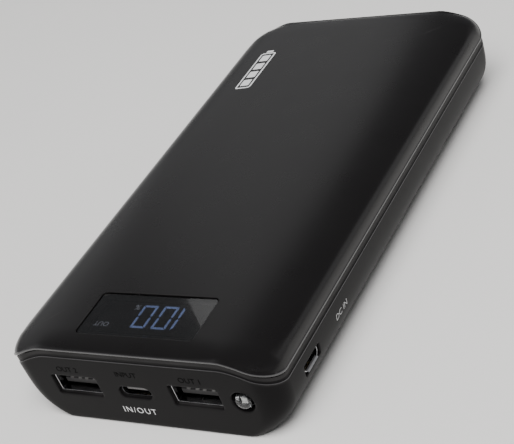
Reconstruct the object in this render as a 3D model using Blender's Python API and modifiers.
"""Power bank: a crowned cover over a shallow shell, with ports, torch, display, cells and a button.

The origin is on the table under the middle of the body. +X is to the right when the ports are
faced, +Y runs away from the ports and +Z is up. Sizes are in millimetres, and MM turns them into
Blender's metres.
"""

import math

import bmesh
import bpy
from mathutils import Vector

MM = 0.001
GAP = 0.3

# The body's outside.
BODY_W = 77.2
BODY_L = 147.5
BODY_H = 24.6
HALF_W = BODY_W / 2
HALF_L = BODY_L / 2
CORNER_R = 6.5
CROWN_POWER = 3.5
END_ROLL = 7.0
FOOT_R = 0.8
SIDE_DRAFT = 0.9
SIDE_TUCK = 7.3
TUCK_POWER = 4.5

# The seam: level along the sides, arched over each end.
SIDE_SEAM_Z = 16.6
END_SEAM_Z = 23.0
SEAM_RUN = 13.0
SEAM_POWER = 1.35
SEAM_GAP = 2.15
SEAM_DEPTH = 0.22
SEAM_CHAMFER = 0.15

# Plastic walls.
COVER_T = 1.6
FLOOR_T = 1.5
WALL_T = 2.1
SKIRT_OUT = WALL_T + GAP
SKIRT_IN = SKIRT_OUT + 1.0
SKIRT_DROP = 2.0
RIM_GAP = 0.4
CROWN_SPAN = 31.0
BOSS_R = 2.3
BOSS_PILOT_R = 1.0
DISPLAY_POST_R = 2.0
DISPLAY_PILOT_R = 0.8

# Ports on the end wall.
USB_A_X = (15.6, -19.2)
USB_A_W = 13.2
USB_A_H = 5.7
USB_A_DEPTH = 13.3
USB_A_TONGUE_T = 1.84
USB_A_TONGUE_W = 11.1
PORT_Z = 11.6
PORT_SET_BACK = 0.9
PORT_WALL = 0.3
PORT_CLEARANCE = 0.2
PORT_CHAMFER = 0.4
USB_C_X = -1.8
USB_C_W = 8.94
USB_C_H = 3.2
USB_C_DEPTH = 6.8
USB_C_TONGUE_W = 6.7
LED_X = 28.5
LED_R = 2.5
LED_L = 8.6
LED_BASE_Y = -HALF_L - 1.0 + LED_L

# The main board hangs everything electric behind the ports.
BOARD_T = 1.2
BOARD_TOP = PORT_Z - 2.2
BOARD_FLOOR = BOARD_TOP - BOARD_T
BOARD_LEFT = -33.6
BOARD_RIGHT = 34.0
BOARD_CORNER = 2.0
BOARD_FRONT = -HALF_L + 2.6
BOARD_BACK = BOARD_FRONT + 28.4
USB_C_Z = BOARD_TOP + 0.05 + USB_C_H / 2

# The side port is let into the board's right edge, and the button's switch stands on its left edge.
SIDE_PORT_Y = -HALF_L + 16.7
MICRO_W = 7.5
MICRO_H = 2.6
MICRO_DEPTH = 5.6
MICRO_WALL = 0.25
MICRO_TONGUE_W = 3.6
MICRO_TONGUE_T = 0.7
MICRO_Z = PORT_Z - 1.9
MICRO_MOUTH_X = HALF_W - 1.1
BUTTON_L = 11.0
BUTTON_H = 3.4
BUTTON_Z = BOARD_TOP + 1.8
BUTTON_PROUD = 0.5
BUTTON_CLEARANCE = 0.25
BUTTON_FLANGE = 1.3
BUTTON_FLANGE_T = 0.8
BUTTON_NUB = (1.3, 1.1)

# Display under its window, in the cover.
WINDOW_W = 34.0
WINDOW_L = 14.3
WINDOW_CORNER = 1.2
WINDOW_T = 1.0
WINDOW_FIT = 0.15
WINDOW_Y = -HALF_L + 12.5
WINDOW_TOP = BODY_H - 0.45
WINDOW_FLOOR = WINDOW_TOP - WINDOW_T - 0.1
LEDGE_T = 1.2
DISPLAY_HOLE_W = WINDOW_W - 5.0
DISPLAY_HOLE_L = WINDOW_L - 3.0
DISPLAY_H = 4.0
DISPLAY_TOP = WINDOW_FLOOR - 0.2
DISPLAY_BOARD_TOP = DISPLAY_TOP - DISPLAY_H - GAP
DISPLAY_BOARD_T = 1.0
DISPLAY_SCREW_X = DISPLAY_HOLE_W / 2 + 3.0

# Two stacked pouch cells behind the board.
CELL_W = 58.0
CELL_L = 103.0
CELL_FRONT = -34.0
CELL_TERRACE = 3.5
PAD_T = 0.4
CELL_HEADROOM = 0.7
CELL_T = (BODY_H - COVER_T - FLOOR_T - CELL_HEADROOM - 3 * PAD_T - 5 * GAP) / 2
LOWER_CELL_Z = FLOOR_T + GAP + PAD_T + GAP + CELL_T / 2
UPPER_CELL_Z = LOWER_CELL_Z + CELL_T + GAP + PAD_T + GAP
TAB_X = 14.0
TAB_W = 6.0
TAB_T = 0.3

BOARD_SCREWS = ((-28.8, -67.0), (USB_C_X, -61.5), (-28.0, -45.8), (28.0, -45.8))

CORNER_STEPS = 6
END_STATIONS = (0.0, 0.66, 0.71, 0.76, 0.81)


# Scene and materials


def clear_scene():
    for obj in list(bpy.data.objects):
        bpy.data.objects.remove(obj)


def collection(name):
    found = bpy.data.collections.new(name)
    bpy.context.scene.collection.children.link(found)
    return found


def paint(name, colour, roughness, metallic=0.0):
    material = bpy.data.materials.new(name)
    material.use_nodes = True
    shader = material.node_tree.nodes["Principled BSDF"]
    shader.inputs["Base Color"].default_value = (*colour, 1.0)
    shader.inputs["Roughness"].default_value = roughness
    shader.inputs["Metallic"].default_value = metallic
    return material


clear_scene()
PARTS = collection("power_bank")
CUTTERS = collection("cutters")

SHELL_PLASTIC = paint("shell_plastic", (0.012, 0.012, 0.014), 0.55)
SMOKED_PLASTIC = paint("smoked_plastic", (0.01, 0.01, 0.012), 0.12)
DARK_PLASTIC = paint("dark_plastic", (0.02, 0.02, 0.022), 0.5)
WHITE_PLASTIC = paint("white_plastic", (0.75, 0.75, 0.73), 0.45)
CLEAR_RESIN = paint("clear_resin", (0.85, 0.88, 0.9), 0.08)
PLATED_STEEL = paint("plated_steel", (0.62, 0.62, 0.63), 0.22, 1.0)
GOLD_PLATE = paint("gold_plate", (0.83, 0.61, 0.25), 0.25, 1.0)
COPPER = paint("tinned_copper", (0.72, 0.68, 0.62), 0.35, 1.0)
BOARD_GREEN = paint("board_laminate", (0.01, 0.09, 0.04), 0.45)
POUCH_FOIL = paint("pouch_foil", (0.55, 0.56, 0.58), 0.38, 1.0)
FOAM_BLACK = paint("foam_black", (0.03, 0.03, 0.03), 0.95)
TAPE_CLEAR = paint("adhesive_tape", (0.7, 0.68, 0.6), 0.6)
TAB_NICKEL = paint("tab_nickel", (0.6, 0.58, 0.54), 0.35, 1.0)
RED_SILICONE = paint("red_silicone", (0.5, 0.02, 0.02), 0.55)
BLACK_SILICONE = paint("black_silicone", (0.015, 0.015, 0.015), 0.55)
FERRITE = paint("ferrite_grey", (0.12, 0.12, 0.12), 0.7)
CHIP_EPOXY = paint("chip_epoxy", (0.018, 0.018, 0.02), 0.5)
CAPACITOR_CAN = paint("capacitor_can", (0.65, 0.66, 0.68), 0.3, 1.0)
FLEX_AMBER = paint("flex_amber", (0.45, 0.2, 0.04), 0.35)


# Making solids


def add(name, bm, material):
    """Object from a bmesh built in metres."""
    mesh = bpy.data.meshes.new(name)
    bm.to_mesh(mesh)
    bm.free()
    mesh.materials.append(material)
    mesh.shade_smooth()
    mesh.set_sharp_from_angle(angle=math.radians(30))
    obj = bpy.data.objects.new(name, mesh)
    PARTS.objects.link(obj)
    return obj


def block(name, size, centre, material, bevel=0.0, segments=2):
    bm = bmesh.new()
    bmesh.ops.create_cube(bm, size=1.0)
    bmesh.ops.scale(bm, vec=Vector(size) * MM, verts=bm.verts)
    obj = add(name, bm, material)
    obj.location = Vector(centre) * MM
    if bevel:
        edge = obj.modifiers.new("edges", "BEVEL")
        edge.width = bevel * MM
        edge.segments = segments
    return obj


def rod(name, radius, low, high, x, y, material, steps=20):
    """Upright cylinder between two heights."""
    bm = bmesh.new()
    bmesh.ops.create_cone(
        bm,
        cap_ends=True,
        segments=steps,
        radius1=radius * MM,
        radius2=radius * MM,
        depth=(high - low) * MM,
    )
    obj = add(name, bm, material)
    obj.location = Vector((x, y, (low + high) / 2)) * MM
    return obj


def turned(name, profile, centre, material, steps=24):
    """Solid of revolution about its own Z, from (radius, height) pairs running top to bottom."""
    mesh = bpy.data.meshes.new(name)
    corners = [(radius * MM, 0.0, height * MM) for radius, height in profile]
    mesh.from_pydata(corners, [(i, i + 1) for i in range(len(corners) - 1)], [])
    mesh.materials.append(material)
    obj = bpy.data.objects.new(name, mesh)
    PARTS.objects.link(obj)
    obj.location = Vector(centre) * MM
    screw = obj.modifiers.new("turn", "SCREW")
    screw.steps = steps
    screw.render_steps = steps
    screw.use_merge_vertices = True
    screw.merge_threshold = 0.00001
    return obj


def loft(name, rings, material):
    """Closed solid through rings of equal length, capped at the first and the last ring."""
    bm = bmesh.new()
    loops = [[bm.verts.new(Vector(point) * MM) for point in ring] for ring in rings]
    for near, far in zip(loops, loops[1:]):
        for i in range(len(near)):
            j = (i + 1) % len(near)
            bm.faces.new((near[i], near[j], far[j], far[i]))
    bm.faces.new(loops[0])
    bm.faces.new(loops[-1])
    bmesh.ops.recalc_face_normals(bm, faces=bm.faces)
    return add(name, bm, material)


def plate(name, outlines, thickness, centre, material):
    """Flat outline, with any further outlines as holes, lying level with its middle at centre."""
    curve = bpy.data.curves.new(name, "CURVE")
    curve.dimensions = "2D"
    curve.fill_mode = "BOTH"
    curve.extrude = thickness / 2 * MM
    for outline in outlines:
        spline = curve.splines.new("POLY")
        spline.points.add(len(outline) - 1)
        for point, (u, v) in zip(spline.points, outline):
            point.co = (u * MM, v * MM, 0.0, 1.0)
        spline.use_cyclic_u = True
    curve.materials.append(material)
    obj = bpy.data.objects.new(name, curve)
    PARTS.objects.link(obj)
    obj.location = Vector(centre) * MM
    return obj


def side_plate(name, outline, width, x, material):
    """Outline drawn in (y, z), as seen from +X, and width wide about x."""
    obj = plate(name, [outline], width, (x, 0.0, 0.0), material)
    obj.rotation_euler = (math.pi / 2, 0.0, math.pi / 2)
    return obj


def smooth_route(points, steps=4):
    """Points along a Catmull-Rom curve through the given ones."""
    ends = [Vector(p) for p in (points[0], *points, points[-1])]
    route = []
    for a, b, c, d in zip(ends, ends[1:], ends[2:], ends[3:]):
        for k in range(steps):
            t = k / steps
            bend = (2 * a - 5 * b + 4 * c - d) * t * t + (3 * b - a - 3 * c + d) * t**3
            route.append(b + ((c - a) * t + bend) / 2)
    route.append(ends[-1])
    return route


def wire(name, points, radius, material):
    curve = bpy.data.curves.new(name, "CURVE")
    curve.dimensions = "3D"
    curve.bevel_depth = radius * MM
    curve.bevel_resolution = 2
    curve.use_fill_caps = True
    route = smooth_route(points)
    spline = curve.splines.new("POLY")
    spline.points.add(len(route) - 1)
    for point, place in zip(spline.points, route):
        point.co = (*(place * MM), 1.0)
    curve.materials.append(material)
    obj = bpy.data.objects.new(name, curve)
    PARTS.objects.link(obj)
    return obj


def combine(target, tool, operation):
    """Boolean with a helper object, which then leaves the parts."""
    PARTS.objects.unlink(tool)
    CUTTERS.objects.link(tool)
    tool.hide_render = True
    tool.display_type = "WIRE"
    step = target.modifiers.new(tool.name, "BOOLEAN")
    step.operation = operation
    step.object = tool


def cut(target, tool):
    combine(target, tool, "DIFFERENCE")


def join(target, tool):
    combine(target, tool, "UNION")


# Outlines


def rounded_rectangle(half_u, half_v, radius, steps, stations=(0.0,)):
    """Points round a rectangle with rounded corners, with extra stations along its -v and +v ends."""
    spread = sorted({side * half_u * place for place in stations for side in (-1, 1)})
    outline = [(u, -half_v) for u in spread]
    for corner in range(4):
        sign_u = (1, 1, -1, -1)[corner]
        sign_v = (-1, 1, 1, -1)[corner]
        if corner == 2:
            outline += [(u, half_v) for u in reversed(spread)]
        for k in range(steps + 1):
            angle = math.radians(90 * (corner - 1 + k / steps))
            u = sign_u * (half_u - radius) + radius * math.cos(angle)
            v = sign_v * (half_v - radius) + radius * math.sin(angle)
            outline.append((u, v))
    return outline


def circle(radius, steps, centre=(0.0, 0.0)):
    turn = 2 * math.pi / steps
    return [
        (centre[0] + radius * math.cos(k * turn), centre[1] + radius * math.sin(k * turn))
        for k in range(steps)
    ]


def across_y(outline, y, x, z):
    return [(x + u, y, z + v) for u, v in outline]


def across_x(outline, x, y, z):
    return [(x, y + u, z + v) for u, v in outline]


def across_z(outline, y, z):
    return [(u, y + v, z) for u, v in outline]


def window_outline(grow):
    """The display window's outline, larger all round by grow."""
    return rounded_rectangle(WINDOW_W / 2 + grow, WINDOW_L / 2 + grow, WINDOW_CORNER + grow, 3)


# The body's shape


def seam_z(x):
    """Height of the cover's rim: level by the sides, and arched over the ends."""
    beyond = max(0.0, abs(x) - (HALF_W - SEAM_RUN)) / SEAM_RUN
    arch = (1 - min(beyond, 1.0) ** SEAM_POWER) ** (1 / SEAM_POWER)
    return SIDE_SEAM_Z + (END_SEAM_Z - SIDE_SEAM_Z) * arch


def side_inset(z):
    """How far the long walls stand in from the seam's width at a height below the seam."""
    depth = max(0.0, SIDE_SEAM_Z - z) / SIDE_SEAM_Z
    return SIDE_DRAFT * depth + SIDE_TUCK * depth**TUCK_POWER


def crown_z(x, y, skin):
    """Height of the cover's outer face (skin 0), or of its inner face a skin's thickness in."""
    half_x = HALF_W - skin
    half_y = HALF_L - skin
    radius = CORNER_R - skin
    arch = (1 - min(abs(x) / half_x, 1.0) ** CROWN_POWER) ** (1 / CROWN_POWER)
    ridge = SIDE_SEAM_Z + (BODY_H - skin - SIDE_SEAM_Z) * arch
    rim = seam_z(x * HALF_W / half_x)
    corner = max(0.0, abs(x) - (half_x - radius))
    end = half_y - radius + math.sqrt(max(0.0, radius**2 - corner**2))
    inward = min(max(0.0, end - abs(y)) / END_ROLL, 1.0)
    return rim + max(ridge - rim, 0.0) * math.sqrt(1 - (1 - inward) ** 2)


def body_outline(inset):
    radius = max(CORNER_R - inset, 0.4)
    return rounded_rectangle(HALF_W - inset, HALF_L - inset, radius, CORNER_STEPS, END_STATIONS)


def seam_ring(inset, drop):
    """Ring that follows the seam, an inset inside the outline and a drop below the cover's rim."""
    ring = []
    for x, y in body_outline(inset):
        z = seam_z(x * HALF_W / (HALF_W - inset)) - drop
        ring.append((x * (1 - side_inset(z) / HALF_W), y, z))
    return ring


def wall_ring(inset, end_inset, low, rise, drop):
    """Ring on the shell's wall, a share of the way from a level up to the seam."""
    ring = []
    for x, y in body_outline(inset):
        top = seam_z(x * HALF_W / (HALF_W - inset)) - drop
        z = low + (top - low) * rise
        ring.append((x * (1 - side_inset(z) / HALF_W), y * (1 - end_inset / HALF_L), z))
    return ring


def crown_rings(first, last, count, skin):
    """Rings over the crown, closer together near its steep edge."""
    rings = []
    for k in range(count + 1):
        inset = first + (last - first) * (k / count) ** 2.2
        rings.append([(x, y, crown_z(x, y, skin)) for x, y in body_outline(inset)])
    return rings


# Shells


def top_cover():
    outside = crown_rings(0.0, CROWN_SPAN, 12, 0.0)
    inside = crown_rings(SKIRT_IN, CROWN_SPAN, 7, COVER_T)
    rim = [
        seam_ring(SKIRT_OUT, 0.0),
        seam_ring(SKIRT_OUT, SKIRT_DROP),
        seam_ring(SKIRT_IN, SKIRT_DROP),
    ]
    cover = loft("top_cover", outside[::-1] + rim + inside, SHELL_PLASTIC)

    frame_top = WINDOW_FLOOR + 0.4
    frame_floor = WINDOW_FLOOR - LEDGE_T
    size = (WINDOW_W + 5.0, WINDOW_L + 3.0, frame_top - frame_floor)
    middle = (0.0, WINDOW_Y, (frame_top + frame_floor) / 2)
    join(cover, block("window_frame", size, middle, SHELL_PLASTIC))
    for side in (-1, 1):
        x = side * DISPLAY_SCREW_X
        low = DISPLAY_BOARD_TOP + GAP
        post = (DISPLAY_POST_R, low, frame_floor + 0.5, x, WINDOW_Y)
        pilot = (DISPLAY_PILOT_R, low - 1.0, low + 2.6, x, WINDOW_Y)
        join(cover, rod(f"display_post_{side}", *post, SHELL_PLASTIC))
        cut(cover, rod(f"display_pilot_{side}", *pilot, SHELL_PLASTIC, 12))

    pocket = window_outline(WINDOW_FIT)
    rings = [across_z(pocket, WINDOW_Y, z) for z in (WINDOW_FLOOR, BODY_H + 1.0)]
    cut(cover, loft("window_pocket", rings, SHELL_PLASTIC))
    size = (DISPLAY_HOLE_W, DISPLAY_HOLE_L, 6.0)
    cut(cover, block("display_hole", size, (0.0, WINDOW_Y, WINDOW_FLOOR - 1.0), SHELL_PLASTIC))
    return cover


def end_port_cutter(name, half_w, half_h, radius, x, z):
    """Straight hole through the end wall, flared at its outer face."""
    rings = []
    flare = PORT_CHAMFER + 1.0
    for grow, y in ((flare, -HALF_L - 1.0), (0.0, -HALF_L + PORT_CHAMFER), (0.0, -HALF_L + 4.0)):
        outline = rounded_rectangle(half_w + grow, half_h + grow, radius + grow, 4)
        rings.append(across_y(outline, y, x, z))
    return loft(name, rings, SHELL_PLASTIC)


def side_port_cutter(name, half_l, half_h, radius, y, z, side):
    """Straight hole through a long wall, flared at its outer face."""
    face = HALF_W - side_inset(z)
    flare = PORT_CHAMFER + 2.0
    rings = []
    for grow, x in ((flare, face + 2.0), (0.0, face - PORT_CHAMFER), (0.0, face - 5.0)):
        outline = rounded_rectangle(half_l + grow, half_h + grow, radius + grow, 4)
        rings.append(across_x(outline, side * x, y, z))
    return loft(name, rings, SHELL_PLASTIC)


def bottom_shell():
    rings = []
    for k in range(4):
        angle = math.radians(90 * k / 4)
        z = FOOT_R * (1 - math.cos(angle))
        rings.append(wall_ring(0.0, FOOT_R * (1 - math.sin(angle)), z, 0.0, SEAM_GAP))
    for rise in (0.0, 0.2, 0.4, 0.7):
        rings.append(wall_ring(0.0, 0.0, FOOT_R, rise, SEAM_GAP))
    rings.append(seam_ring(0.0, SEAM_GAP + SEAM_CHAMFER))
    rings.append(seam_ring(SEAM_CHAMFER, SEAM_GAP))
    rings.append(seam_ring(SEAM_DEPTH, SEAM_GAP))
    rings.append(seam_ring(SEAM_DEPTH, RIM_GAP))
    rings.append(seam_ring(WALL_T, RIM_GAP))
    for rise in (1.0, 0.6, 0.25, 0.0):
        rings.append(wall_ring(WALL_T, 0.0, FLOOR_T, rise, SEAM_GAP))
    shell = loft("bottom_shell", rings, SHELL_PLASTIC)

    for number, (x, y) in enumerate(BOARD_SCREWS, 1):
        top = BOARD_FLOOR - 0.2
        boss = (BOSS_R, FLOOR_T - 0.6, top, x, y)
        pilot = (BOSS_PILOT_R, top - 4.0, top + 1.0, x, y)
        join(shell, rod(f"board_boss_{number}", *boss, SHELL_PLASTIC))
        cut(shell, rod(f"board_pilot_{number}", *pilot, SHELL_PLASTIC, 12))
    for side in (-1, 1):
        size = (10.0, 1.2, 4.6)
        middle = (side * 22.0, CELL_FRONT - CELL_TERRACE - 0.9, FLOOR_T + 1.7)
        join(shell, block(f"cell_stop_{side}", size, middle, SHELL_PLASTIC))

    half_w = USB_A_W / 2 + PORT_CLEARANCE
    half_h = USB_A_H / 2 + PORT_CLEARANCE
    for number, x in enumerate(USB_A_X, 1):
        cut(shell, end_port_cutter(f"usb_a_hole_{number}", half_w, half_h, 0.6, x, PORT_Z))
    half_w = USB_C_W / 2 + PORT_CLEARANCE
    half_h = USB_C_H / 2 + PORT_CLEARANCE
    cut(shell, end_port_cutter("usb_c_hole", half_w, half_h, half_h - 0.02, USB_C_X, USB_C_Z))
    led_hole_r = LED_R + 0.4
    cut(shell, end_port_cutter("led_hole", led_hole_r, led_hole_r, led_hole_r - 0.02, LED_X, PORT_Z))
    half_l = MICRO_W / 2 + 0.3
    half_h = MICRO_H / 2 + 0.3
    cut(shell, side_port_cutter("micro_usb_hole", half_l, half_h, 0.4, SIDE_PORT_Y, MICRO_Z, 1))
    half_l = BUTTON_L / 2 + BUTTON_CLEARANCE
    half_h = BUTTON_H / 2 + BUTTON_CLEARANCE
    cut(shell, side_port_cutter("button_slot", half_l, half_h, half_h - 0.02, SIDE_PORT_Y, BUTTON_Z, -1))
    return shell


# Ports


def cup(name, outlines, place, mouth, back, wall, material):
    """Sheet metal sleeve with a closed back: its outside and inside outlines, set along a depth."""
    outer, inner = outlines
    inner_back = back + (wall if mouth > back else -wall)
    rings = [place(outer, back), place(outer, mouth), place(inner, mouth), place(inner, inner_back)]
    return loft(name, rings, material)


def usb_a_port(number, x):
    mouth = -HALF_L + PORT_SET_BACK
    back = mouth + USB_A_DEPTH
    outlines = [
        rounded_rectangle(USB_A_W / 2 - inset, USB_A_H / 2 - inset, 0.6 - inset, 3)
        for inset in (0.0, PORT_WALL)
    ]
    cup(
        f"usb_a_shell_{number}",
        outlines,
        lambda outline, y: across_y(outline, y, x, PORT_Z),
        mouth,
        back,
        PORT_WALL,
        PLATED_STEEL,
    )

    inner_floor = PORT_Z - USB_A_H / 2 + PORT_WALL
    inner_top = PORT_Z + USB_A_H / 2 - PORT_WALL
    tongue_low = inner_floor + 0.7
    tongue_top = tongue_low + USB_A_TONGUE_T
    tip = mouth + 1.8
    root = back - PORT_WALL - 0.1
    heel = root - 3.0
    outline = [
        (tip + 0.3, tongue_low),
        (heel, tongue_low),
        (heel, inner_floor + 0.1),
        (root, inner_floor + 0.1),
        (root, inner_top - 0.1),
        (heel, inner_top - 0.1),
        (heel, tongue_top),
        (tip + 0.3, tongue_top),
        (tip, tongue_top - 0.3),
        (tip, tongue_low + 0.3),
    ]
    side_plate(f"usb_a_tongue_{number}", outline, USB_A_TONGUE_W, x, DARK_PLASTIC)

    for pin, offset in enumerate((-3.5, -1.0, 1.0, 3.5), 1):
        side_plate(
            f"usb_a_contact_{number}_{pin}",
            contact_outline(tip + 0.35, heel - 0.2, tongue_top + 0.06),
            1.0,
            x + offset,
            GOLD_PLATE,
        )


def contact_outline(tip, heel, level):
    """Side view of a leaf contact with a raised dimple at its tip."""
    thickness = 0.2
    dimple_l = 1.5
    dimple_h = 0.4
    steps = 6
    upper = []
    lower = []
    for k in range(steps + 1):
        y = tip + dimple_l * k / steps
        rise = dimple_h * math.sin(math.pi * k / steps)
        lower.append((y, level + rise))
        upper.append((y, level + rise + thickness))
    lower.append((heel, level))
    upper.append((heel, level + thickness))
    return lower + upper[::-1]


def usb_c_port():
    mouth = -HALF_L + PORT_SET_BACK
    back = mouth + USB_C_DEPTH
    outlines = [
        rounded_rectangle(USB_C_W / 2 - inset, USB_C_H / 2 - inset, USB_C_H / 2 - inset - 0.02, 5)
        for inset in (0.0, PORT_WALL)
    ]
    cup(
        "usb_c_shell",
        outlines,
        lambda outline, y: across_y(outline, y, USB_C_X, USB_C_Z),
        mouth,
        back,
        PORT_WALL,
        PLATED_STEEL,
    )
    tip = mouth + 0.7
    root = back - PORT_WALL - 0.1
    heel = root - 1.2
    half_t = 0.35
    half_root = 1.1
    outline = [
        (tip, USB_C_Z - half_t),
        (heel, USB_C_Z - half_t),
        (heel, USB_C_Z - half_root),
        (root, USB_C_Z - half_root),
        (root, USB_C_Z + half_root),
        (heel, USB_C_Z + half_root),
        (heel, USB_C_Z + half_t),
        (tip, USB_C_Z + half_t),
    ]
    side_plate("usb_c_tongue", outline, USB_C_TONGUE_W, USB_C_X, DARK_PLASTIC)


def micro_outline(inset):
    """Micro-USB mouth: a flat box whose lower corners are cut off."""
    half_l = MICRO_W / 2 - inset
    half_h = MICRO_H / 2 - inset
    slope = 1.0 - inset / 3
    return [
        (-half_l + slope, -half_h),
        (half_l - slope, -half_h),
        (half_l, -half_h + slope),
        (half_l, half_h),
        (-half_l, half_h),
        (-half_l, -half_h + slope),
    ]


def micro_usb_port():
    mouth = MICRO_MOUTH_X
    back = mouth - MICRO_DEPTH
    cup(
        "micro_usb_shell",
        [micro_outline(0.0), micro_outline(MICRO_WALL)],
        lambda outline, x: across_x(outline, x, SIDE_PORT_Y, MICRO_Z),
        mouth,
        back,
        MICRO_WALL,
        PLATED_STEEL,
    )
    tip = mouth - 0.6
    root = back + MICRO_WALL + 0.1
    size = (tip - root, MICRO_TONGUE_W, MICRO_TONGUE_T)
    middle = ((tip + root) / 2, SIDE_PORT_Y, MICRO_Z + MICRO_TONGUE_T / 2)
    block("micro_usb_tongue", size, middle, DARK_PLASTIC, 0.1)


# Torch


def torch_led():
    flange_r = LED_R + 0.4
    profile = []
    for k in range(7):
        angle = math.radians(90 * k / 6)
        profile.append((LED_R * math.sin(angle), -LED_R * (1 - math.cos(angle))))
    profile += [
        (LED_R, -LED_L + 1.0),
        (flange_r, -LED_L + 1.0),
        (flange_r, -LED_L),
        (0.0, -LED_L),
    ]
    led = turned("torch_led", profile, (LED_X, LED_BASE_Y - LED_L, PORT_Z), CLEAR_RESIN)
    led.rotation_euler = (math.pi / 2, 0.0, 0.0)
    for name, side in (("torch_led_anode", -1), ("torch_led_cathode", 1)):
        x = LED_X + side * 1.27
        route = (
            (x, LED_BASE_Y + 0.1, PORT_Z),
            (x, LED_BASE_Y + 1.4, PORT_Z),
            (x, LED_BASE_Y + 2.3, PORT_Z - 0.7),
            (x, LED_BASE_Y + 2.6, BOARD_TOP + 0.1),
        )
        wire(name, route, 0.25, COPPER)


# Display


def display():
    edge = 0.15
    levels = (
        (0.0, WINDOW_TOP - WINDOW_T),
        (0.0, WINDOW_TOP - edge),
        (edge, WINDOW_TOP),
    )
    rings = [across_z(window_outline(-inset), WINDOW_Y, z) for inset, z in levels]
    loft("display_window", rings, SMOKED_PLASTIC)

    size = (DISPLAY_HOLE_W - 0.6, DISPLAY_HOLE_L - 0.6, DISPLAY_H)
    middle = (0.0, WINDOW_Y, DISPLAY_TOP - DISPLAY_H / 2)
    block("display_module", size, middle, DARK_PLASTIC, 0.3)

    half_w = DISPLAY_SCREW_X + 2.4
    outline = rounded_rectangle(half_w, WINDOW_L / 2 + 0.8, 1.5, 4)
    holes = [circle(1.1, 12, (side * DISPLAY_SCREW_X, 0.0)) for side in (-1, 1)]
    middle = (0.0, WINDOW_Y, DISPLAY_BOARD_TOP - DISPLAY_BOARD_T / 2)
    plate("display_board", [outline, *holes], DISPLAY_BOARD_T, middle, BOARD_GREEN)
    for number, side in enumerate((-1, 1), 1):
        place = (side * DISPLAY_SCREW_X, WINDOW_Y, DISPLAY_BOARD_TOP - DISPLAY_BOARD_T - 0.1)
        screw(f"display_screw_{number}", place, 0.65, 3.2).rotation_euler = (math.pi, 0.0, 0.0)
    display_flex()


def display_flex():
    """Flat cable that loops from under the display board back to the main board's socket."""
    thickness = 0.25
    upper = DISPLAY_BOARD_TOP - DISPLAY_BOARD_T - 0.5
    lower = BOARD_TOP + 1.0
    bend_r = (upper - lower) / 2
    bend_y = WINDOW_Y + 10.5
    middle_z = (upper + lower) / 2
    outer = [(bend_y - 6.0, upper)]
    inner = [(bend_y - 6.0, upper - thickness)]
    steps = 10
    for k in range(steps + 1):
        angle = math.radians(90 - 180 * k / steps)
        outer.append((bend_y + bend_r * math.cos(angle), middle_z + bend_r * math.sin(angle)))
        reach = bend_r - thickness
        inner.append((bend_y + reach * math.cos(angle), middle_z + reach * math.sin(angle)))
    outer.append((bend_y - 2.5, lower))
    inner.append((bend_y - 2.5, lower + thickness))
    side_plate("display_flex", outer + inner[::-1], 8.0, 0.0, FLEX_AMBER)
    size = (10.0, 3.6, 1.9)
    middle = (0.0, bend_y - 2.8 - size[1] / 2, BOARD_TOP + 0.1 + size[2] / 2)
    block("flex_socket", size, middle, WHITE_PLASTIC, 0.15)


# Main board


def main_board():
    notch_back = -HALF_L + PORT_SET_BACK + USB_A_DEPTH + GAP
    reach = USB_A_W / 2 + GAP
    led_notch_x = LED_X - LED_R - 0.9
    led_notch_y = LED_BASE_Y + 0.5
    micro_reach = MICRO_W / 2 + GAP
    micro_notch_x = MICRO_MOUTH_X - MICRO_DEPTH - GAP
    outline = [(BOARD_LEFT, BOARD_FRONT + BOARD_CORNER), (BOARD_LEFT + BOARD_CORNER, BOARD_FRONT)]
    for centre in sorted(USB_A_X):
        outline += [
            (centre - reach, BOARD_FRONT),
            (centre - reach, notch_back),
            (centre + reach, notch_back),
            (centre + reach, BOARD_FRONT),
        ]
    outline += [
        (led_notch_x, BOARD_FRONT),
        (led_notch_x, led_notch_y),
        (BOARD_RIGHT, led_notch_y),
        (BOARD_RIGHT, SIDE_PORT_Y - micro_reach),
        (micro_notch_x, SIDE_PORT_Y - micro_reach),
        (micro_notch_x, SIDE_PORT_Y + micro_reach),
        (BOARD_RIGHT, SIDE_PORT_Y + micro_reach),
        (BOARD_RIGHT, BOARD_BACK),
        (BOARD_LEFT, BOARD_BACK),
    ]
    holes = [circle(1.2, 12, place) for place in BOARD_SCREWS]
    plate("main_board", [outline, *holes], BOARD_T, (0.0, 0.0, BOARD_TOP - BOARD_T / 2), BOARD_GREEN)
    for number, (x, y) in enumerate(BOARD_SCREWS, 1):
        screw(f"board_screw_{number}", (x, y, BOARD_TOP + 0.1), 0.85, 4.0)


def screw(name, seat, shank_r, length):
    """Pan head screw whose head sits on seat, with a cross recess."""
    head_r = shank_r * 2.1
    head_h = shank_r * 1.3
    profile = [
        (0.0, head_h),
        (head_r * 0.7, head_h * 0.9),
        (head_r, head_h * 0.4),
        (head_r, 0.0),
        (shank_r, 0.0),
        (shank_r, -length + shank_r),
        (shank_r * 0.3, -length),
        (0.0, -length),
    ]
    return turned(name, profile, seat, PLATED_STEEL, 16)


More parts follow.
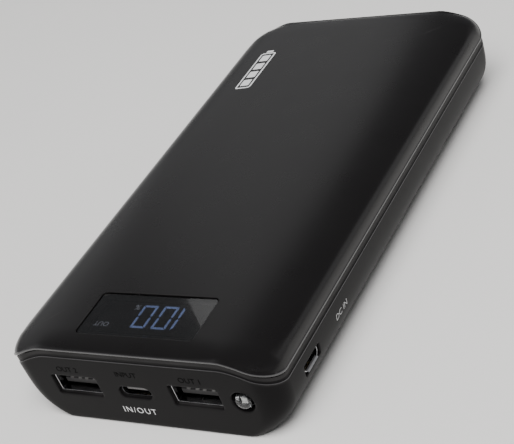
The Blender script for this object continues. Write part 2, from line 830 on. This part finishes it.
def board_components():
    for name, x in (("output_inductor", -20.5), ("input_inductor", 20.5)):
        body = block(name, (7.0, 7.0, 3.4), (x, -48.5, BOARD_TOP + 1.8), FERRITE, 0.8)
        cut(body, rod(f"{name}_dish", 2.2, BOARD_TOP + 3.1, BOARD_TOP + 4.5, x, -48.5, FERRITE, 16))
    for name, x in (("controller_chip", -11.0), ("charger_chip", 11.0)):
        body = block(name, (5.0, 5.0, 0.9), (x, -51.0, BOARD_TOP + 0.55), CHIP_EPOXY, 0.08, 1)
        dot = (0.35, BOARD_TOP + 0.85, BOARD_TOP + 1.5, x - 1.7, -49.3)
        cut(body, rod(f"{name}_dot", *dot, CHIP_EPOXY, 12))
    profile = [
        (0.0, 5.8),
        (2.7, 5.8),
        (3.1, 5.4),
        (3.1, 1.6),
        (2.85, 1.3),
        (3.1, 1.0),
        (3.1, 0.0),
        (0.0, 0.0),
    ]
    for name, x in (("output_capacitor", -22.5), ("input_capacitor", 22.5)):
        turned(name, profile, (x, -55.6, BOARD_TOP + 0.1), CAPACITOR_CAN)


# Cells


def pouch_cell(name, z):
    body = block(
        name,
        (CELL_W, CELL_L, CELL_T),
        (0.0, CELL_FRONT + CELL_L / 2, z),
        POUCH_FOIL,
        1.8,
        3,
    )
    size = (CELL_W - 4.0, CELL_TERRACE + 2.0, 0.8)
    join(body, block(f"{name}_terrace", size, (0.0, CELL_FRONT - CELL_TERRACE / 2 + 1.0, z), POUCH_FOIL))


def cell_tab(name, x, cell_z, toward, y):
    """Strip that leaves a cell's sealed edge and turns up or down to meet its twin."""
    start = CELL_FRONT - CELL_TERRACE - GAP
    middle = (LOWER_CELL_Z + UPPER_CELL_Z) / 2
    end = middle + toward * 2.0
    edge = TAB_T / 2
    outline = [
        (start, cell_z + toward * edge),
        (start, cell_z - toward * edge),
        (y - edge, cell_z - toward * edge),
        (y - edge, end),
        (y + edge, end),
        (y + edge, cell_z + toward * edge),
    ]
    side_plate(name, outline, TAB_W, x, TAB_NICKEL)


def battery():
    pouch_cell("cell_lower", LOWER_CELL_Z)
    pouch_cell("cell_upper", UPPER_CELL_Z)
    pad_y = CELL_FRONT + CELL_L / 2
    stack = (
        ("cell_adhesive", (44.0, 90.0), FLOOR_T + GAP + PAD_T / 2, TAPE_CLEAR),
        ("cell_tape", (50.0, 96.0), (LOWER_CELL_Z + UPPER_CELL_Z) / 2, TAPE_CLEAR),
        ("cell_foam", (32.0, 84.0), UPPER_CELL_Z + CELL_T / 2 + GAP + PAD_T / 2, FOAM_BLACK),
    )
    for name, (width, length), z, material in stack:
        block(name, (width, length, PAD_T), (0.0, pad_y, z), material)

    near = CELL_FRONT - CELL_TERRACE - 1.6
    far = near - TAB_T - GAP
    for pole, x, colour, colour_name in (
        ("positive", TAB_X, RED_SILICONE, "red"),
        ("negative", -TAB_X, BLACK_SILICONE, "black"),
    ):
        cell_tab(f"{pole}_tab_lower", x, LOWER_CELL_Z, 1, near)
        cell_tab(f"{pole}_tab_upper", x, UPPER_CELL_Z, -1, far)
        middle = (LOWER_CELL_Z + UPPER_CELL_Z) / 2
        inward = -math.copysign(1.0, x)
        route = (
            (x, far - 0.6 - 0.8, middle + 1.2),
            (x + inward * 0.6, far - 2.4, middle + 1.0),
            (x + inward * 3.5, far - 3.6, BOARD_TOP + 1.6),
            (x + inward * 6.0, far - 4.2, BOARD_TOP + 1.1),
            (x + inward * 8.5, far - 5.5, BOARD_TOP + 1.1),
        )
        wire(f"battery_wire_{colour_name}", route, 0.8, colour)
    thermistor()


def thermistor():
    """Bead on the upper cell's sealed edge, with two leads down to the board."""
    z = UPPER_CELL_Z + 0.4 + GAP + 0.9
    y = CELL_FRONT - 1.8
    profile = []
    for k in range(9):
        angle = math.radians(180 * k / 8)
        profile.append((0.9 * math.sin(angle), 0.9 * math.cos(angle)))
    turned("thermistor_bead", profile, (0.0, y, z), CHIP_EPOXY, 16)
    for number, side in enumerate((-1, 1), 1):
        route = (
            (side * 0.5, y - 1.1, z),
            (side * 0.7, y - 3.4, z - 0.8),
            (side * 1.0, y - 6.0, z - 3.0),
            (side * 1.2, y - 8.6, BOARD_TOP + 0.8),
            (side * 1.2, y - 10.0, BOARD_TOP + 0.6),
        )
        wire(f"thermistor_lead_{number}", route, 0.25, COPPER)


# Button


def power_button():
    """Cap in the long wall, with the switch behind it: the cap, plunger and dome move along X."""
    face = HALF_W - side_inset(BUTTON_Z)
    lip = side_inset(BUTTON_Z - BUTTON_H / 2 - BUTTON_CLEARANCE)
    flange = HALF_W - lip - WALL_T - GAP - 0.15
    half_l = BUTTON_L / 2
    half_h = BUTTON_H / 2
    front = -(face + BUTTON_PROUD)
    nub_end = -flange + 1.7
    sections = (
        (front, half_l - 0.4, half_h - 0.4),
        (front + 0.15, half_l - 0.12, half_h - 0.12),
        (front + 0.5, half_l, half_h),
        (-flange, half_l, half_h),
        (-flange, half_l + BUTTON_FLANGE, half_h),
        (-flange + BUTTON_FLANGE_T, half_l + BUTTON_FLANGE, half_h),
        (-flange + BUTTON_FLANGE_T, *BUTTON_NUB),
        (nub_end, *BUTTON_NUB),
    )
    rings = []
    for x, reach, height in sections:
        outline = rounded_rectangle(reach, height, height - 0.05, 5)
        rings.append(across_x(outline, x, SIDE_PORT_Y, BUTTON_Z))
    loft("power_button", rings, SHELL_PLASTIC)

    tip = nub_end + 0.1
    body_front = tip + 1.0
    body_back = body_front + 3.4
    size = (body_back - body_front, 6.2, 3.2)
    middle = ((body_front + body_back) / 2, SIDE_PORT_Y, BUTTON_Z)
    body = block("switch_body", size, middle, DARK_PLASTIC, 0.2)
    chamber = [(0.0, 0.5), (1.05, 0.5), (1.05, -0.7), (1.9, -0.7), (1.9, -2.3), (0.0, -2.3)]
    hollow = turned("switch_chamber", chamber, (body_front, SIDE_PORT_Y, BUTTON_Z), DARK_PLASTIC, 20)
    hollow.rotation_euler = (0.0, -math.pi / 2, 0.0)
    cut(body, hollow)

    stem = [(0.0, 1.0), (0.8, 1.0), (0.9, 0.9), (0.9, -0.8), (1.5, -0.8), (1.5, -1.3), (0.0, -1.3)]
    plunger = turned("switch_plunger", stem, (body_front, SIDE_PORT_Y, BUTTON_Z), WHITE_PLASTIC, 20)
    plunger.rotation_euler = (0.0, -math.pi / 2, 0.0)
    dome = [(0.0, -1.4), (0.8, -1.47), (1.55, -1.75), (1.55, -1.87), (0.8, -1.59), (0.0, -1.52)]
    disc = turned("switch_dome", dome, (body_front, SIDE_PORT_Y, BUTTON_Z), PLATED_STEEL, 20)
    disc.rotation_euler = (0.0, -math.pi / 2, 0.0)


def main():
    top_cover()
    bottom_shell()
    for number, x in enumerate(USB_A_X, 1):
        usb_a_port(number, x)
    usb_c_port()
    micro_usb_port()
    torch_led()
    display()
    main_board()
    board_components()
    battery()
    power_button()


main()
